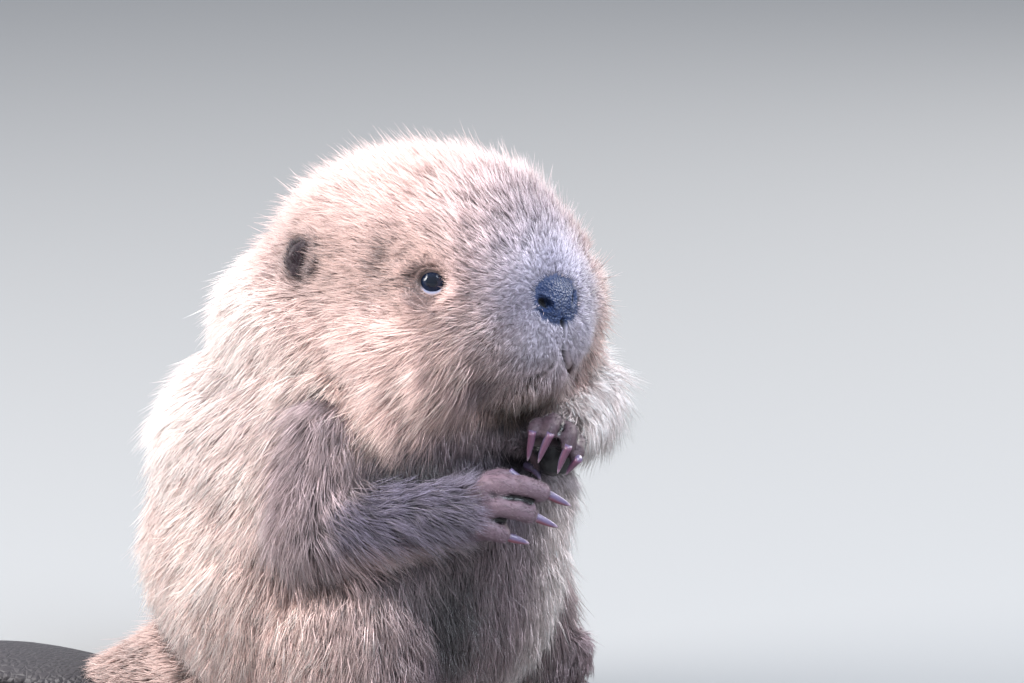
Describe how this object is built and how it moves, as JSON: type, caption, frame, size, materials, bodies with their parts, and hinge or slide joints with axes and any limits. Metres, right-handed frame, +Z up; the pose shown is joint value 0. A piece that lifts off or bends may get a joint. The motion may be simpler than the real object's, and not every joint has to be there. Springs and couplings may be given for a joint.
{
  "type": "beaver kit",
  "caption": "Life-size still model of a young beaver sitting upright on its haunches, hands held before its chest, head turned slightly, flat tail laid behind.",
  "frame": {"origin": "middle of the bounding box's bottom face, on the floor that the kit sits on", "axes": "+Z up, the kit faces -Y, its left side is +X and its tail lies along +Y"},
  "size_m": [0.17, 0.3046, 0.2165],
  "materials": {
    "fur": "soft matted kit fur in fine pointed tufts, pale cream-tan tips over darker grey-brown roots",
    "bare_skin": "thinly haired mauve-brown skin of the hands and feet with black pads and webs",
    "nose_skin": "slate-black pebbled nose skin with a soft damp sheen",
    "ear_skin": "dark plum-brown thin ear skin with sparse short hairs",
    "tail_scales": "dark grey-brown scaly tail skin with small overlapping scales",
    "eye": "glossy near-black eyeball",
    "claw": "pale lavender horn with a red-brown underside"
  },
  "bodies": {
    "root": {"ear_left": "ear_skin", "ear_right": "ear_skin", "eye_left": "eye", "eye_right": "eye", "foot_left": "bare_skin", "foot_right": "bare_skin", "forearm_left": "fur", "forearm_right": "fur", "front_claw_left_1": "claw", "front_claw_left_2": "claw", "front_claw_left_3": "claw", "front_claw_left_4": "claw", "front_claw_left_5": "claw", "front_claw_right_1": "claw", "front_claw_right_2": "claw", "front_claw_right_3": "claw", "front_claw_right_4": "claw", "front_claw_right_5": "claw", "hand_left": "bare_skin", "hand_right": "bare_skin", "head": "fur", "hind_claw_left_1": "claw", "hind_claw_left_2": "claw", "hind_claw_left_3": "claw", "hind_claw_left_4": "claw", "hind_claw_left_5": "claw", "hind_claw_right_1": "claw", "hind_claw_right_2": "claw", "hind_claw_right_3": "claw", "hind_claw_right_4": "claw", "hind_claw_right_5": "claw", "neck": "fur", "nose": "nose_skin", "shank_left": "fur", "shank_right": "fur", "tail_base": "fur", "tail_paddle": "tail_scales", "thigh_left": "fur", "thigh_right": "fur", "trunk": "fur", "upper_arm_left": "fur", "upper_arm_right": "fur"}
  },
  "joints": []
}
